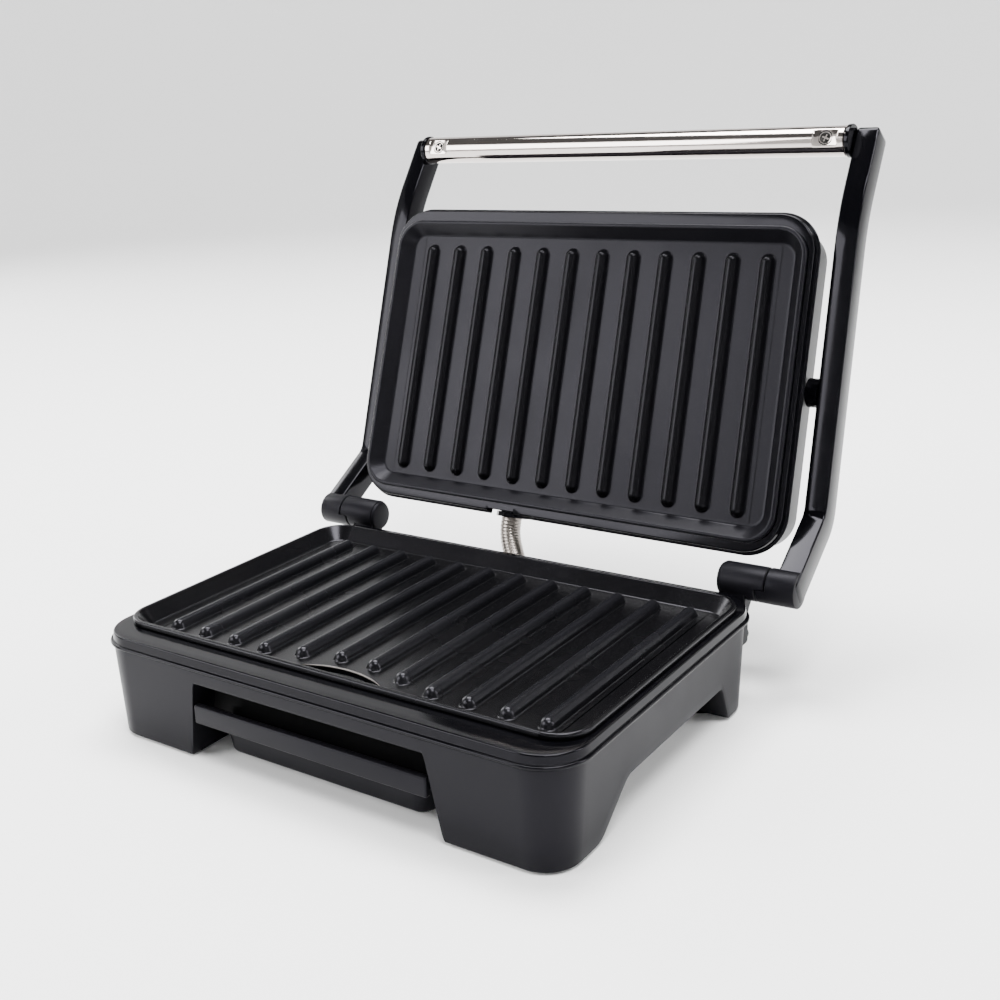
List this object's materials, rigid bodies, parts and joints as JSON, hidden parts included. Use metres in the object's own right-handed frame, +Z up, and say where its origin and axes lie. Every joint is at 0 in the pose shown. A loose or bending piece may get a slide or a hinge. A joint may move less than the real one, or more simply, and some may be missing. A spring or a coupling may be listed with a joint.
{
  "type": "panini press",
  "caption": "Panini press: ribbed non-stick plates in a satin black body, floating lid on side arms with a chrome bar handle, hinge barrels behind, drip tray sliding out at the front.",
  "frame": {"origin": "middle of the press's bounding box in X and Y with the lid open against its stop, on the surface that its foot pads stand on", "axes": "+X to the right of someone facing the front, along the hinge; +Y from the front edge back towards the hinge; +Z up"},
  "size_m": [0.2834, 0.2998, 0.2573],
  "materials": {
    "satin_housing": "satin",
    "painted_steel": "satin",
    "gloss_black": "gloss",
    "nonstick_plate": "satin",
    "chrome_tube": "polished",
    "steel_parts": "satin",
    "sheet_aluminium": "satin",
    "rubber": "matte",
    "screw_steel": "satin",
    "ceramic_body": "matte",
    "red_lens": "gloss",
    "green_lens": "gloss"
  },
  "bodies": {
    "root": {"foot_pad_front_left": "rubber", "foot_pad_front_right": "rubber", "foot_pad_rear_left": "rubber", "foot_pad_rear_right": "rubber", "base_housing": "satin_housing", "base_bezel": "gloss_black", "base_bottom_cover": "painted_steel", "cover_screw_front_left": "screw_steel", "cover_screw_front_right": "screw_steel", "cover_screw_rear_left": "screw_steel", "cover_screw_rear_right": "screw_steel", "lower_grill_plate": "nonstick_plate", "lower_heating_element": "steel_parts", "lower_heat_reflector": "sheet_aluminium", "lower_thermostat": "ceramic_body", "lower_plate_screw_right": "screw_steel", "lower_plate_screw_left": "screw_steel", "thermal_fuse": "steel_parts", "terminal_block": "ceramic_body", "drain_chute": "sheet_aluminium", "hinge_barrel_right": "gloss_black", "hinge_barrel_left": "gloss_black", "hinge_barrel_cap_right": "gloss_black", "hinge_barrel_cap_left": "gloss_black", "hinge_pin_right": "steel_parts", "hinge_pin_left": "steel_parts", "hinge_screw_lower_right": "screw_steel", "hinge_screw_lower_left": "screw_steel", "hinge_screw_upper_right": "screw_steel", "hinge_screw_upper_left": "screw_steel", "conduit_base_ferrule": "gloss_black", "cord_inlet_gland": "rubber", "spring_conduit": "steel_parts", "tray_rail_right": "satin_housing", "tray_rail_left": "satin_housing"},
    "arms": {"lid_arm_right": "gloss_black", "lid_arm_left": "gloss_black", "pivot_cap_right": "satin_housing", "pivot_cap_left": "satin_housing", "handle_tube": "chrome_tube", "handle_collar_right": "gloss_black", "handle_collar_left": "gloss_black", "handle_screw_right": "screw_steel", "handle_screw_left": "screw_steel"},
    "lid": {"upper_housing": "satin_housing", "upper_bezel": "gloss_black", "upper_grill_plate": "nonstick_plate", "upper_heating_element": "steel_parts", "upper_heat_reflector": "sheet_aluminium", "upper_thermostat": "ceramic_body", "upper_plate_screw_right": "screw_steel", "upper_plate_screw_left": "screw_steel", "lid_pivot_boss_right": "gloss_black", "lid_pivot_boss_left": "gloss_black", "lid_pivot_pin_right": "steel_parts", "lid_pivot_pin_left": "steel_parts", "conduit_lid_ferrule": "gloss_black", "power_light_lens": "red_lens", "ready_light_lens": "green_lens"},
    "tray": {"drip_tray": "satin_housing"}
  },
  "joints": [
    {"name": "lid_hinge", "type": "hinge", "parent": "root", "child": "arms", "pos_m": [0, 0.03424, 0.0526], "axis": [1, 0, 0], "range_deg": [0, 109.5], "deforming": ["spring_conduit"]},
    {"name": "lid_tilt", "type": "hinge", "parent": "arms", "child": "lid", "pos_m": [0, 0.09014, 0.13138], "axis": [1, 0, 0], "range_deg": [-3, 3]},
    {"name": "tray_slide", "type": "slide", "parent": "root", "child": "tray", "axis": [0, -1, 0], "range_m": [0, 0.125]}
  ]
}
